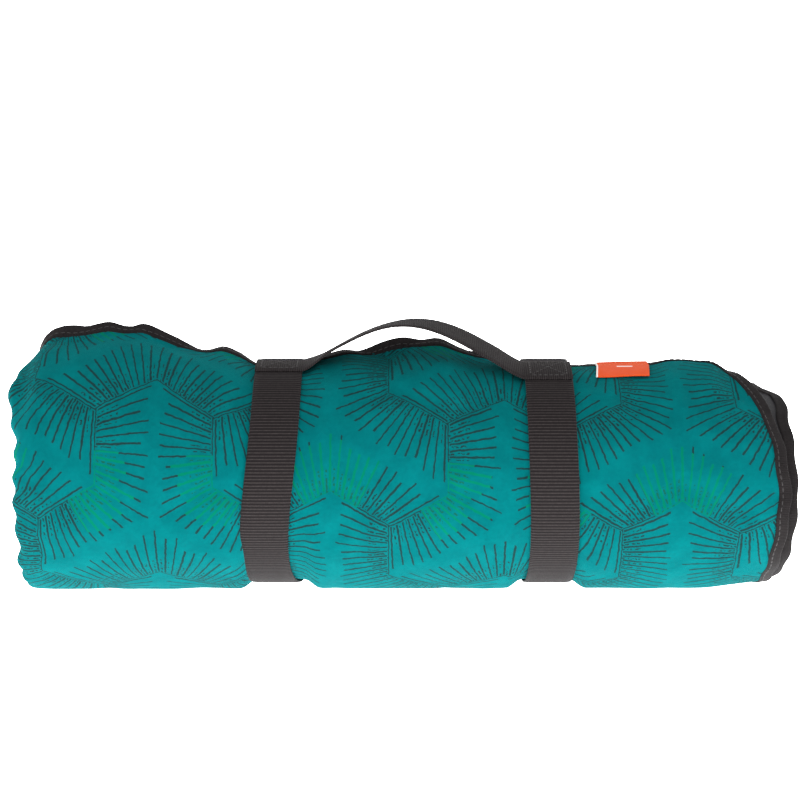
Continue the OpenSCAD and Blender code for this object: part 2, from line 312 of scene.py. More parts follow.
def swell(x, v, depth, y, z, out_y, out_z, lift):
    """Moves points of the wound cloth outwards, less so deep in the roll and at the floor."""
    inside = depth + TURN_STEP * 2 * np.floor(np.maximum(v, 0.0) / TURN_V)
    outer = np.exp(-inside / 0.035)
    up = np.clip(out_z, 0.0, 1.0)
    facing = 0.35 + 0.65 * up ** 1.5
    floor = smooth(-0.95, -0.2, out_z)
    out = outline(x, TOP_SWELL) * facing * outer * (0.08 + 0.92 * floor) - pinch(x, out_z) * outer
    out = out + lift * np.exp(-inside / 0.0012) * (0.25 + 0.75 * floor)
    return y + out * out_y, z + out * out_z


def end_curl(x, v, depth):
    """How far the free outer end moves back and up as it turns up off the roll."""
    reach = 0.015
    angle = np.radians(outline(x, END_TURN)) * np.exp(-depth / 0.006)
    angle = angle * (1 + 0.25 * np.sin(x * 150 + 2.0))
    past = np.clip(reach - v, 0.0, 1.3 * reach)
    turned = np.maximum(angle * past / reach, 1e-6)
    radius = past / turned
    return past - radius * np.sin(turned), radius * (1 - np.cos(turned))


def place(x, v, depth, height=0.0):
    """The point of the rolled blanket at x along it, v round it and a depth in its plies."""
    x, v, depth, height = np.broadcast_arrays(*(np.asarray(n, float) for n in (x, v, depth, height)))
    y, z, out_y, out_z = on_wound_line(v)
    y = y - depth * out_y
    z = z - depth * out_z
    outermost = (v < TURN_V + 0.03) & (depth < PLY_PITCH)
    flat = clear_of_straps(x) * clear_of_label(x, v)
    lift = np.where(outermost, relief(x, v) * flat, 0.0)
    y, z = swell(x, v, depth, y, z, out_y, out_z, lift)
    back, up = end_curl(x, v, depth)
    y, z = y - back, z + up
    y, z = y + height * out_y, z + height * out_z
    return np.stack([x, y, np.maximum(z, 0.0004)], -1)


# ---- the folded panel

def folded_path():
    """Columns u, x, depth, face normal x, face normal depth of the panel's middle, across its width."""
    outer_r = (STACK_T - PANEL_T) / 2
    inner_r = PLY_PITCH / 2
    mid = PANEL_T / 2
    rows = []

    def run(start_x, end_x, depth, facing, count, eased=True):
        for i in range(count):
            t = 0.5 - 0.5 * math.cos(math.pi * i / count) if eased else i / count
            rows.append((start_x + (end_x - start_x) * t, depth, 0.0, facing))

    def fold(centre_x, centre_depth, radius, side, first_way, face_sign, count):
        for i in range(count):
            angle = math.pi * i / count
            out_x = side * math.sin(angle)
            out_d = first_way * math.cos(angle)
            rows.append((centre_x + radius * out_x, centre_depth + radius * out_d,
                         face_sign * out_x, face_sign * out_d))

    outer_left = LEFT_X + STACK_T / 2
    inner_left = LEFT_X + PLY_PITCH + PANEL_T + inner_r
    right = FOLD_RIGHT_X - mid - inner_r
    run(OUTER_RIGHT_X, outer_left, mid, -1.0, 150, eased=False)
    fold(outer_left, STACK_T / 2, outer_r, -1, -1, 1, 9)
    run(outer_left, right, STACK_T - mid, 1.0, 26)
    fold(right, STACK_T - mid - inner_r, inner_r, 1, 1, 1, 6)
    run(right, inner_left, 2 * PLY_PITCH + mid, -1.0, 26)
    fold(inner_left, 1.5 * PLY_PITCH + mid, inner_r, -1, 1, -1, 6)
    run(inner_left, RIGHT_X, PLY_PITCH + mid, 1.0, 44)
    rows.append((RIGHT_X, PLY_PITCH + mid, 0.0, 1.0))
    rows = np.array(rows)
    return np.column_stack([walked(rows[:, :2]), rows])


PATH = folded_path()
PANEL_W = PATH[-1, 0]
# The rounded corners' reach across and along the panel, on the outer ply and on the second
OUTER_CORNER = (0.045, 0.100)
INNER_CORNER = (0.006, 0.008)
# How far the inner plies' ends lie back at the right, as the blanket was folded out of square
ASKEW = 0.030


def panel_point(u, v, out=0.0):
    """A point of the panel at u across it and v along it, out from its middle on the printed side."""
    beyond = np.minimum(u, 0.0) - np.maximum(u - PANEL_W, 0.0)
    x, depth, face_x, face_d = (np.interp(u, PATH[:, 0], PATH[:, n]) for n in (1, 2, 3, 4))
    x = x - beyond
    ripple = end_ripple(x, v, depth)
    return place(x + ripple + face_x * out, v, depth + face_d * out)


def end_ripple(x, v, depth):
    """Small in and out waves of the folds and bound sides at the two ends of the roll."""
    puckers = 0.0020 * noise_at(v * 45, depth * 60, 2.0) + 0.0010 * np.sin(v * 390 + 1.5 * np.sin(v * 70))
    bulge = 0.0060 * np.exp(-((v - 0.040) / 0.020) ** 2) - 0.0045 * np.exp(-(v / 0.018) ** 2)
    left = smooth(LEFT_X + 0.03, LEFT_X, x) * (puckers + 0.0010 - bulge)
    right = smooth(OUTER_RIGHT_X - 0.02, OUTER_RIGHT_X, x)
    belly = smooth(OUTER_RIGHT_X - 0.03, OUTER_RIGHT_X, x) * np.exp(-((v - 0.105) / 0.045) ** 2)
    wave = 0.0014 * noise_at(v * 38, depth * 300, 7.0) + 0.0005 * np.sin(v * 260 + depth * 900)
    return left + right * wave + 0.0035 * belly


def end_stagger(u):
    """How far past the outer ply's end the panel's end lies, which is more on the inner plies."""
    depth = np.interp(u, PATH[:, 0], PATH[:, 2])
    return PLY_STAGGER * (depth - PANEL_T / 2) / PLY_PITCH


def rolled(u, w):
    """The place along the roll of a point w from the panel's outer end."""
    x = np.interp(u, PATH[:, 0], PATH[:, 1])
    inner_plies = np.where(u > PANEL_W / 4, 1.0, 0.0)
    askew = ASKEW * smooth(RIGHT_X - 0.16, RIGHT_X - 0.035, x) * inner_plies * (1 - w / WOUND_LENGTH)
    return w - end_stagger(u) * smooth(0.03, 0.0, w) + askew


def rounded_corner(u, w):
    """Squeezes the panel's two outer corners round. w is the distance from the outer end."""
    on_outer = u < PANEL_W / 2
    side = np.where(on_outer, u, PANEL_W - u)
    reach_u, reach_w = (np.where(on_outer, a, b) for a, b in zip(OUTER_CORNER, INNER_CORNER))
    across = np.clip(1 - side / reach_u, 0.0, None)
    along = np.clip(1 - w / reach_w, 0.0, None)
    size = np.hypot(across, along)
    inside = (across > 0) & (along > 0)
    pull = np.where(inside, np.maximum(across, along) / np.maximum(size, 1e-9), 1.0)
    new_side = np.where(inside, reach_u * (1 - across * pull), side)
    new_w = np.where(inside, reach_w * (1 - along * pull), w)
    return np.where(on_outer, new_side, PANEL_W - new_side), new_w


def panel_rows():
    """Distances from the outer end of the mesh's rows: close together on the turn that shows."""
    fine = np.arange(0.0, TURN_V + 0.03, 0.0027)
    coarse = np.linspace(fine[-1], WOUND_LENGTH, 112)[1:]
    return np.concatenate([fine, coarse])


def blanket(materials):
    """The whole panel as one closed sheet: printed face, coated back, and a thin rim between."""
    u, w = rounded_corner(*np.meshgrid(PATH[:, 0], panel_rows()))
    v = rolled(u, w)
    face = panel_point(u, v, PANEL_T / 2)
    back = panel_point(u, v, -PANEL_T / 2)
    uvs = np.stack(print_place(PATH[0, 1] - u, v), -1)
    return slab("blanket", face, back, uvs, materials, (0, 1, 1))


# ---- binding

def tape_section(width, thickness, outside):
    """A flat rounded ring, as pairs of distance past the edge and height off the middle."""
    half = thickness / 2
    nose = [(outside + half * 0.8 * math.cos(a), half * math.sin(a))
            for a in np.linspace(math.pi / 2, -math.pi / 2, 7)]
    flat = np.linspace(outside, outside - width, 5)[1:]
    top = [(e, half * (0.92 if i == len(flat) - 1 else 1.0)) for i, e in enumerate(flat)]
    return np.array([(e, h) for e, h in reversed(top)] + nose + [(e, -h) for e, h in top])


def corner_walk(reach):
    """A rounded corner as distances from the side and from the end, and the way out of the panel."""
    angle = np.linspace(0, math.pi / 2, 46)
    way = unit(np.column_stack([np.cos(angle) / reach[0], np.sin(angle) / reach[1]]))
    return np.column_stack([reach[0] * (1 - np.cos(angle)), reach[1] * (1 - np.sin(angle)), -way])


def border_walk():
    """The panel's border from the inner end, round the outer end, and back: u, w, out u, out w."""
    step = 0.003
    outer, inner = corner_walk(OUTER_CORNER), corner_walk(INNER_CORNER)[::-1]
    inner[:, 0] = PANEL_W - inner[:, 0]
    inner[:, 2] *= -1
    down = np.arange(WOUND_LENGTH, OUTER_CORNER[1], -step)
    across = PATH[(PATH[:, 0] > OUTER_CORNER[0]) & (PATH[:, 0] < PANEL_W - INNER_CORNER[0]), 0]
    back = np.arange(INNER_CORNER[1] + step, WOUND_LENGTH, step)
    first = [(0.0, w, -1.0, 0.0) for w in down]
    end = [(u, 0.0, 0.0, -1.0) for u in across]
    last = [(PANEL_W, w, 1.0, 0.0) for w in back]
    return np.concatenate([first, outer, end, inner, last])


def along_border(walk, past, height):
    """Points past the border by some distance, and off the panel's middle by a height."""
    u = walk[:, 0, None] + walk[:, 2, None] * past
    w = walk[:, 1, None] + walk[:, 3, None] * past
    return panel_point(u, rolled(np.clip(u, 0, PANEL_W), w), height)


def edge_binding(material):
    """The tape folded over the panel's raw edge, as one closed band along the whole border."""
    walk = border_walk()
    section = tape_section(BINDING_W, BINDING_T, 0.0004)
    points = along_border(walk, section[None, :, 0], section[None, :, 1])
    length = walked(points[:, len(section) // 2])
    uvs = np.stack(np.broadcast_arrays(section[None, :, 0], length[:, None]), -1)
    return swept("edge_binding_tape", points, uvs, material)


# ---- stitches

def stitch_run(centres, directions, normals, length, width, height):
    """Points and faces of a row of short rounded stitches."""
    ring = 6
    angles = np.linspace(0, 2 * math.pi, ring, endpoint=False)
    stations = ((-0.5, 0.25), (-0.36, 0.9), (0.0, 1.15), (0.36, 0.9), (0.5, 0.25))
    sides = np.cross(directions, normals)
    points, faces = [], []
    for centre, along, up, side in zip(centres, directions, normals, sides):
        start = len(points)
        for share, fat in stations:
            for angle in angles:
                points.append(centre + along * length * share
                              + side * math.cos(angle) * width / 2 * fat
                              + up * math.sin(angle) * height / 2 * fat)
        faces += [tuple(f) for f in grid_faces(len(stations), ring, closed=True, start=start)]
        faces.append(tuple(range(start, start + ring))[::-1])
        last = start + ring * (len(stations) - 1)
        faces.append(tuple(range(last, last + ring)))
    return points, faces


def stitches_along(line, normals, pitch=0.0034, length=0.0026, width=0.00055, height=0.00045):
    """Stitches at an even pitch along a polyline with a normal at each point."""
    reach = walked(line)
    middles = np.arange(pitch / 2, reach[-1], pitch)
    centres = sampled(line, reach, middles)
    before, after = (sampled(line, reach, middles + step) for step in (-pitch / 4, pitch / 4))
    directions = unit(after - before)
    ups = sampled(normals, reach, middles)
    ups = unit(ups - directions * np.sum(ups * directions, axis=1, keepdims=True))
    return stitch_run(centres, directions, ups, length, width, height)


def sewn(name, runs, material):
    """One object from several runs of stitches, each a pair of points and faces."""
    points, faces = [], []
    for run_points, run_faces in runs:
        faces += [tuple(i + len(points) for i in f) for f in run_faces]
        points += list(run_points)
    return mesh_object(name, points, faces, np.zeros((len(points), 2)), [material])


def binding_seam(material):
    """The seam that holds the tape, on the outer ply where it can be seen."""
    walk = border_walk()
    first_turn = walk[:, 1] < TURN_V + 0.02
    outer_ply = (walk[:, 0] < PANEL_W / 4) & first_turn
    inset = -(BINDING_W - 0.0022)
    line = along_border(walk[outer_ply], inset, BINDING_T / 2)[:, 0]
    above = along_border(walk[outer_ply], inset, BINDING_T / 2 + 0.001)[:, 0]
    return sewn("binding_seam", [stitches_along(line, above - line)], material)


# ---- webbing

def webbing(name, middles, widths, normals, rib_pitch, material):
    """Ribbed webbing: a rounded flat section carried along a line, with a rib at every pick.

    middles are the points along it, widths the half width vectors, and normals point outwards."""
    reach = walked(middles)
    per_rib = 4
    places = np.linspace(0, reach[-1], max(8, int(reach[-1] / rib_pitch * per_rib)))
    middle, width, normal = (sampled(values, reach, places) for values in (middles, widths, normals))
    normal = unit(normal)
    face = np.linspace(-0.97, 0.97, 9)
    across = np.concatenate([face, [1.0], face[::-1], [-1.0]])
    side = np.concatenate([np.ones(len(face)), [0.0], -np.ones(len(face)), [0.0]])
    swell_up = 0.2 * np.cos(places / rib_pitch * 2 * math.pi)
    selvedge = np.where(np.abs(across) > 0.9, 0.72, 1.0)
    height = WEBBING_T / 2 * side * selvedge
    rib = 1 + swell_up[:, None] * (np.abs(across) < 0.9)
    points = (middle[:, None, :] + width[:, None, :] * across[None, :, None]
              + normal[:, None, :] * (height[None, :] * rib)[:, :, None])
    half = np.linalg.norm(width, axis=1)[:, None]
    uvs = np.stack(np.broadcast_arrays(half * across[None, :], places[:, None]), -1)
    return swept(name, points, uvs, material)


def arc_points(centre_y, centre_z, radius, from_deg, to_deg, count):
    """Points and normals along an arc in Y and Z. Degrees run from the back over the top."""
    angles = np.radians(np.linspace(from_deg, to_deg, count))
    normals = np.column_stack([np.zeros(count), np.cos(angles), np.sin(angles)])
    centre = np.array([0.0, centre_y, centre_z])
    return centre + normals * radius, normals


# Where the strap's tail starts and ends and where the inner end lies, in degrees up from the back
HINGE_DEG = 4.0
TAIL_END_DEG = 56.0
INNER_END_DEG = 8.0
PATCH_T = 0.0007
# How far each strap leans sideways on its way down the front
STRAP_LEAN = {"left": -0.0042, "right": 0.0012}


def strap_line():
    """Middle line and normals of a strap, from its inner end over the front to the tail's root."""
    over = arc_points(OVER_Y, AXIS_Z - TURN_STEP, OVER_R + STRAP_D, INNER_END_DEG, 90, 40)
    front = arc_points(FRONT_Y, AXIS_Z, ROLL_R + STRAP_D, 90, 270, 80)
    back = arc_points(BACK_Y, AXIS_Z - TURN_STEP, ROLL_R - TURN_STEP + STRAP_D, -90, 0, 40)
    root = arc_points(OVER_Y, AXIS_Z - TURN_STEP, OVER_R + STRAP_D, 0, HINGE_DEG, 8)
    points = np.concatenate([over[0], front[0], back[0], root[0][1:]])
    normals = np.concatenate([over[1], front[1], back[1], root[1][1:]])
    reach = walked(points)
    step_up = smooth(reach[-1] - 0.022, reach[-1] - 0.003, reach) * (TAIL_D - STRAP_D)
    return points + normals * step_up[:, None], normals


def strap(side, material):
    """One strap round the roll, a little askew as it is in use."""
    points, normals = strap_line()
    front = np.clip(-normals[:, 1], 0, 1)
    slant = STRAP_LEAN[side] * front * smooth(AXIS_Z + ROLL_R, AXIS_Z - ROLL_R, points[:, 2]) * 2
    points = points - normals * pinch(STRAP_X[side], normals[:, 2])[:, None]
    points[:, 0] = STRAP_X[side] + slant
    widths = np.full_like(points, (WEBBING_W / 2, 0.0, 0.0))
    return webbing("strap_" + side + "_webbing", points, widths, normals, STRAP_RIB, material)


def tail_arc(distance, from_deg, to_deg, count):
    """Points and normals at a distance above the roll where the strap's tail lies."""
    return arc_points(OVER_Y, AXIS_Z - TURN_STEP, OVER_R + distance, from_deg, to_deg, count)


def strap_tail(side, material):
    """The strap's loose end, which presses on the inner end with hook and loop."""
    points, normals = tail_arc(TAIL_D, HINGE_DEG, TAIL_END_DEG, 40)
    points[:, 0] = STRAP_X[side]
    widths = np.full_like(points, (WEBBING_W / 2, 0.0, 0.0))
    piece = webbing("strap_tail_" + side + "_webbing", points, widths, normals, STRAP_RIB, material)
    return piece, points


def fuzzy_patch(name, side, distance, from_deg, to_deg, outward, material):
    """A hook or loop patch: a thin pad with a nap of small bumps on its gripping side.

    outward is 1 where that side faces away from the roll, and -1 where it faces the roll."""
    columns, rows = 24, 70
    points, normals = tail_arc(distance, from_deg, to_deg, rows)
    across = np.linspace(-1, 1, columns) * (WEBBING_W / 2 - 0.001)
    grid_x = STRAP_X[side] + across[None, :]
    edge = 1 - np.maximum(np.abs(np.linspace(-1, 1, columns))[None, :],
                          np.abs(np.linspace(-1, 1, rows))[:, None]) ** 12
    nap = 0.00018 * noise_at(grid_x * 1900 + rows, np.arange(rows)[:, None] * 1.7, 3.0)
    layers = []
    for sign in (1, -1):
        rough = nap if sign == outward else 0.0
        height = sign * PATCH_T / 2 * (0.4 + 0.6 * edge) + rough * sign
        layer = points[:, None, :] + normals[:, None, :] * height[:, :, None]
        layer[:, :, 0] = grid_x
        layers.append(layer)
    uvs = np.stack(np.broadcast_arrays(across[None, :], walked(points)[:, None]), -1)
    return slab(name, *layers, uvs, [material], turned=True)


# ---- carry handle

# How far each sewn pad leans forward, the pads' middle off the roll's axis, and the arch and twist of
# the free span, which turns from its first twist to its second
PAD_LEAN = {"left": math.radians(4.0), "right": math.radians(12.0)}
HANDLE_R = ROLL_R + 0.0018 + WEBBING_T / 2
HANDLE_RISE = 0.0235
HANDLE_TWIST = (math.radians(-10), math.radians(1.5))


def over_strap(lean, across, height):
    """A place over the strap, some way across from the line that leans forward of the top.

    Behind the top the roll is flat, and in front it is round."""
    arc = HANDLE_R * lean - across
    angle = np.maximum(arc, 0.0) / HANDLE_R
    radius = HANDLE_R + height
    return FRONT_Y - np.minimum(arc, 0.0) - radius * np.sin(angle), AXIS_Z + radius * np.cos(angle)


def handle_line():
    """Middle line, width vectors and normals of the handle from its left end to its right end."""
    half = WEBBING_W / 2
    span_from = STRAP_X["left"] + half
    span_to = STRAP_X["right"] - half
    count = 161
    x = np.linspace(STRAP_X["left"] - half, STRAP_X["right"] + half, count)
    t = np.clip((x - span_from) / (span_to - span_from), 0, 1)
    rise = HANDLE_RISE * np.maximum(np.sin(math.pi * t), 0.0) ** 1.25
    lean = PAD_LEAN["left"] + (PAD_LEAN["right"] - PAD_LEAN["left"]) * smooth(0, 1, t)
    radius = HANDLE_R + rise
    points = np.column_stack([x, FRONT_Y - radius * np.sin(lean), AXIS_Z + radius * np.cos(lean)])
    free = smooth(0.0, 0.12, t) * smooth(1.0, 0.88, t)
    turned = smooth(0.32, 0.80, t)
    twist = HANDLE_TWIST[0] * (1 - turned) + HANDLE_TWIST[1] * turned
    roll = lean + free * twist
    widths = np.column_stack([np.zeros(count), np.cos(roll), np.sin(roll)]) * half
    tangents = unit(np.gradient(points, axis=0))
    return points, widths, unit(np.cross(tangents, widths))


def handle_half(side, material):
    """Half of the handle, from its sewn pad to the middle of the grip."""
    points, widths, normals = handle_line()
    middle = len(points) // 2
    keep = slice(0, middle + 1) if side == "left" else slice(middle, None)
    piece = webbing("handle_" + side + "_webbing", points[keep], widths[keep], normals[keep],
                    HANDLE_RIB, material)
    bend_pad(piece, side)
    return piece


def bend_pad(piece, side):
    """Lays the sewn pad on the strap, and lets that fade out along the free span."""
    half = WEBBING_W / 2
    inner_x = STRAP_X[side] + (half if side == "left" else -half)
    points = np.array([v.co for v in piece.data.vertices])
    along = (points[:, 0] - inner_x) * (1 if side == "left" else -1)
    share = 1 - smooth(0.0, 0.016, along)
    lean = PAD_LEAN[side]
    back, up = points[:, 1] - FRONT_Y, points[:, 2] - AXIS_Z
    across = back * math.cos(lean) + up * math.sin(lean)
    height = up * math.cos(lean) - back * math.sin(lean) - HANDLE_R
    bent_y, bent_z = over_strap(lean, across, height)
    points[:, 1] += (bent_y - points[:, 1]) * share
    points[:, 2] += (bent_z - points[:, 2]) * share
    piece.data.vertices.foreach_set("co", points.astype(np.float32).ravel())
    piece.data.update()


def pad_point(side, across, along, height):
    """A point on the sewn pad. across runs round the roll and along runs in X."""
    y, z = over_strap(PAD_LEAN[side], across, WEBBING_T / 2 + height)
    return np.array([STRAP_X[side] + along, y, z])


def handle_stitching(side, material):
    """A sewn square with a cross in it, through the handle's pad and the strap."""
    half = WEBBING_W / 2 - 0.003
    corners = [(-half, -half), (-half, half), (half, half), (half, -half), (-half, -half)]
    crosses = [[(-half, -half), (half, half)], [(-half, half), (half, -half)]]
    runs = []
    for path in [corners, *crosses]:
        for start, end in zip(path, path[1:]):
            steps = np.linspace(0.03, 0.97, 9)[:, None]
            line = np.array(start) * (1 - steps) + np.array(end) * steps
            points = np.array([pad_point(side, a, b, 0.00005) for a, b in line])
            tops = np.array([pad_point(side, a, b, 0.001) for a, b in line])
            runs.append(stitches_along(points, tops - points, 0.0029, 0.0022))
    return sewn("handle_" + side + "_stitches", runs, material)


def tail_stitching(side, material):
    """The seam round the hook patch, seen on the outside of the tail."""
    half = WEBBING_W / 2 - 0.0032
    distance = TAIL_D + WEBBING_T / 2 + 0.00005
    low, high = HINGE_DEG + 12, TAIL_END_DEG - 3
    runs = []
    for x in (-half, half):
        points, normals = tail_arc(distance, low, high, 20)
        points[:, 0] = STRAP_X[side] + x
        runs.append(stitches_along(points, normals))
    for angle in (low, high):
        points, normals = tail_arc(distance, angle, angle, 8)
        points[:, 0] = STRAP_X[side] + np.linspace(-half, half, 8)
        runs.append(stitches_along(points, normals))
    return sewn("tail_" + side + "_stitches", runs, material)


# ---- label

def label_strip(name, v_from, v_to, v_fold, material, skew=0.0):
    """A strip of woven label that lies on the outer ply's end. Its pattern counts from the fold."""
    rows, columns = 24, 30
    v = np.linspace(v_from, v_to, rows)[:, None]
    across = np.linspace(-0.5, 0.5, columns)[None, :] * LABEL_W
    x = LABEL_X + across + skew * (v - v_from)
    wave = 0.0003 * (1 + np.sin(across * 190)) * smooth(0.012, 0.024, v)
    top, bottom = (label_point(x, v, height + wave) for height in (LABEL_GAP + LABEL_T, LABEL_GAP))
    uvs = np.stack(np.broadcast_arrays(across, v - v_fold), -1)
    return slab(name, top, bottom, uvs, [material])


def label_point(x, v, height):
    """A point over the outer ply, which the label follows smoothly."""
    base = place(x, v, 0.0)
    out_y, out_z = on_wound_line(np.broadcast_to(v, base.shape[:-1]))[2:]
    base[..., 1] += height * out_y
    base[..., 2] += height * out_z
    return base


# ---- materials

class Nodes:
    """A short way to write a material's node tree."""

    def __init__(self, name):
        self.material = bpy.data.materials.new(name)
        self.material.use_nodes = True
        self.tree = self.material.node_tree
        self.shader = self.tree.nodes["Principled BSDF"]

    def make(self, kind, **settings):
        node = self.tree.nodes.new(kind)
        for key, value in settings.items():
            setattr(node, key, value)
        return node

    def link(self, source, target):
        self.tree.links.new(source, target)

    def feed(self, socket, value):
        """Sets a socket to a plain value, or links it to another socket."""
        if isinstance(value, bpy.types.NodeSocket):
            self.link(value, socket)
        else:
            socket.default_value = value

    def maths(self, operation, *values):
        node = self.make("ShaderNodeMath", operation=operation)
        for socket, value in zip(node.inputs, values):
            self.feed(socket, value)
        return node.outputs[0]

    def add(self, total, *others):
        for other in others:
            total = self.maths("ADD", total, other)
        return total

    def times(self, product, *others):
        for other in others:
            product = self.maths("MULTIPLY", product, other)
        return product

    def minus(self, first, second):
        return self.maths("SUBTRACT", first, second)

    def size(self, value):
        return self.maths("ABSOLUTE", value)

    def below(self, first, second):
        return self.maths("LESS_THAN", first, second)

    def above(self, first, second):
        return self.maths("GREATER_THAN", first, second)

    def step(self, low, high, value):
        """A smooth step from 0 at low to 1 at high, or down where low is above high."""
        node = self.make("ShaderNodeMapRange", interpolation_type="SMOOTHSTEP")
        for name, number in (("Value", value), ("From Min", low), ("From Max", high)):
            self.feed(node.inputs[name], number)
        return node.outputs["Result"]

    def mix(self, share, first, second):
        node = self.make("ShaderNodeMix", data_type="RGBA")
        self.feed(node.inputs["Factor"], share)
        self.feed(node.inputs["A"], first)
        self.feed(node.inputs["B"], second)
        return node.outputs["Result"]

    def cloth_place(self):
        """The cloth's own coordinates, in metres."""
        node = self.make("ShaderNodeUVMap", uv_map="cloth")
        split = self.make("ShaderNodeSeparateXYZ")
        self.link(node.outputs["UV"], split.inputs[0])
        return node.outputs["UV"], split.outputs["X"], split.outputs["Y"]

    def noise(self, vector, scale, detail=2.0):
        node = self.make("ShaderNodeTexNoise", noise_dimensions="3D")
        self.link(vector, node.inputs["Vector"])
        node.inputs["Scale"].default_value = scale
        node.inputs["Detail"].default_value = detail
        return node.outputs["Fac"]

    def paint(self, colour):
        self.link(colour, self.shader.inputs["Base Color"])

    def bump(self, height, distance, strength):
        node = self.make("ShaderNodeBump")
        node.inputs["Strength"].default_value = strength
        node.inputs["Distance"].default_value = distance
        self.link(height, node.inputs["Height"])
        self.link(node.outputs["Normal"], self.shader.inputs["Normal"])

    def finish(self, roughness, sheen=0.0, sheen_roughness=0.5, specular=0.3):
        self.shader.inputs["Roughness"].default_value = roughness
        self.shader.inputs["Sheen Weight"].default_value = sheen
        self.shader.inputs["Sheen Roughness"].default_value = sheen_roughness
        self.shader.inputs["Specular IOR Level"].default_value = specular
        return self.material


def ribs(n, along, pitch):
    """Height of ribs from 0 to 1, one to each pitch."""
    return n.size(n.maths("SINE", n.times(along, math.pi / pitch)))


def weave(n, x, y, pitch):
    """Height of a plain weave from 0 to 1: threads along x and y that pass over each other."""
    over_x = n.maths("SINE", n.times(x, math.pi / pitch))
    over_y = n.maths("SINE", n.times(y, math.pi / pitch))
    return n.size(n.times(over_x, over_y))


def fan(n, a, b, turn):
    """Where a place lies in the fans of one kind, which repeat every three hexagon edges.

    Gives whether it is inside a fan, how far out it is from the fan's base (0) to its end (1), its
    angle and distance from the point its strokes radiate from, and the fan's two numbers."""
    s = HEX_EDGE
    cos_t, sin_t = math.cos(turn), math.sin(turn)
    across = n.add(n.times(a, cos_t), n.times(b, sin_t))
    ahead = n.minus(n.times(b, cos_t), n.times(a, sin_t))
    slant = n.times(across, 1 / math.sqrt(3))
    first = n.maths("DIVIDE", n.minus(ahead, slant), 3 * s)
    second = n.maths("DIVIDE", n.add(ahead, slant), 3 * s)
    cell_1, cell_2 = n.maths("FLOOR", first), n.maths("FLOOR", second)
    side_1 = n.minus(first, cell_1)
    side_2 = n.minus(second, cell_2)
    reach = n.minus(n.times(n.maths("MAXIMUM", side_1, side_2), 3.0), 1.0)
    inside = n.times(n.above(reach, 0.0), n.below(reach, 1.0))
    local_y = n.times(n.add(side_1, side_2), 1.5 * s)
    local_x = n.times(n.minus(side_2, side_1), 1.5 * math.sqrt(3) * s)
    angle = n.maths("ARCTAN2", local_x, local_y)
    radius = n.maths("SQRT", n.add(n.times(local_x, local_x), n.times(local_y, local_y)))
    return inside, reach, angle, radius, cell_1, cell_2


# The strokes' angle apart and half width, how far out the dots go, and how wide a fan's green part is
STROKE_STEP = math.radians(5.3)
STROKE_HALF_W = 0.00027
DOT_REACH = 0.38
GREEN_HALF_ANGLE = math.radians(27)


def strokes(n, place_uv, a, b, turn, row_shares, salt, green_reach):
    """Masks of one kind of fan: one of its strokes, dots and base line, and one of where it is green.

    Fans in every second row have green strokes. row_shares turn a fan's two numbers into its row."""
    inside, reach, angle, radius, cell_1, cell_2 = fan(n, a, b, turn)
    order = n.maths("DIVIDE", angle, STROKE_STEP)
    nearest = n.maths("ROUND", order)
    off = n.times(n.size(n.minus(order, nearest)), STROKE_STEP, radius)
    code = n.add(n.times(cell_1, 7.13), n.times(cell_2, 3.71), nearest, salt)
    random = n.make("ShaderNodeTexWhiteNoise", noise_dimensions="1D")
    n.link(code, random.inputs["W"])
    luck = random.outputs["Value"]
    row = n.add(n.times(cell_1, row_shares[0]), n.times(cell_2, row_shares[1]), row_shares[2])
    odd = n.above(n.maths("FLOORED_MODULO", row, 2.0), 0.5)
    near_middle = n.below(n.size(angle), GREEN_HALF_ANGLE)
    low = n.below(reach, n.add(green_reach, n.times(luck, 0.35)))
    green = n.times(odd, near_middle, low)
    thin = n.add(STROKE_HALF_W, n.times(luck, 0.00018), n.times(green, 0.00012))
    end = n.minus(0.93, n.times(luck, 0.17))
    width_mask = n.step(n.add(thin, 0.00024), thin, off)
    length_mask = n.times(n.below(reach, end), n.above(reach, 0.035))
    stroke = n.times(width_mask, length_mask)
    line = n.step(0.026, 0.012, reach)
    half_way = n.size(n.minus(n.maths("FRACT", order), 0.5))
    half_way = n.times(half_way, STROKE_STEP, radius)
    beads = n.above(n.noise(place_uv, 620.0, 1.0), 0.51)
    dots = n.times(n.step(0.0006, 0.0004, half_way), beads, n.below(reach, DOT_REACH), n.above(luck, 0.2))
    marks = n.maths("MAXIMUM", n.maths("MAXIMUM", stroke, line), dots)
    green = n.times(green, n.minus(1.0, n.times(dots, 0.6)))
    return n.times(marks, inside), n.times(green, inside)


# The print's colours
TEAL_DARK = (0.0, 0.101, 0.111, 1)
TEAL_LIGHT = (0.0, 0.143, 0.151, 1)
FLECK = (0.0, 0.165, 0.158, 1)
INK_DARK = (0.010, 0.025, 0.026, 1)
INK_GREEN = (0.0, 0.150, 0.082, 1)


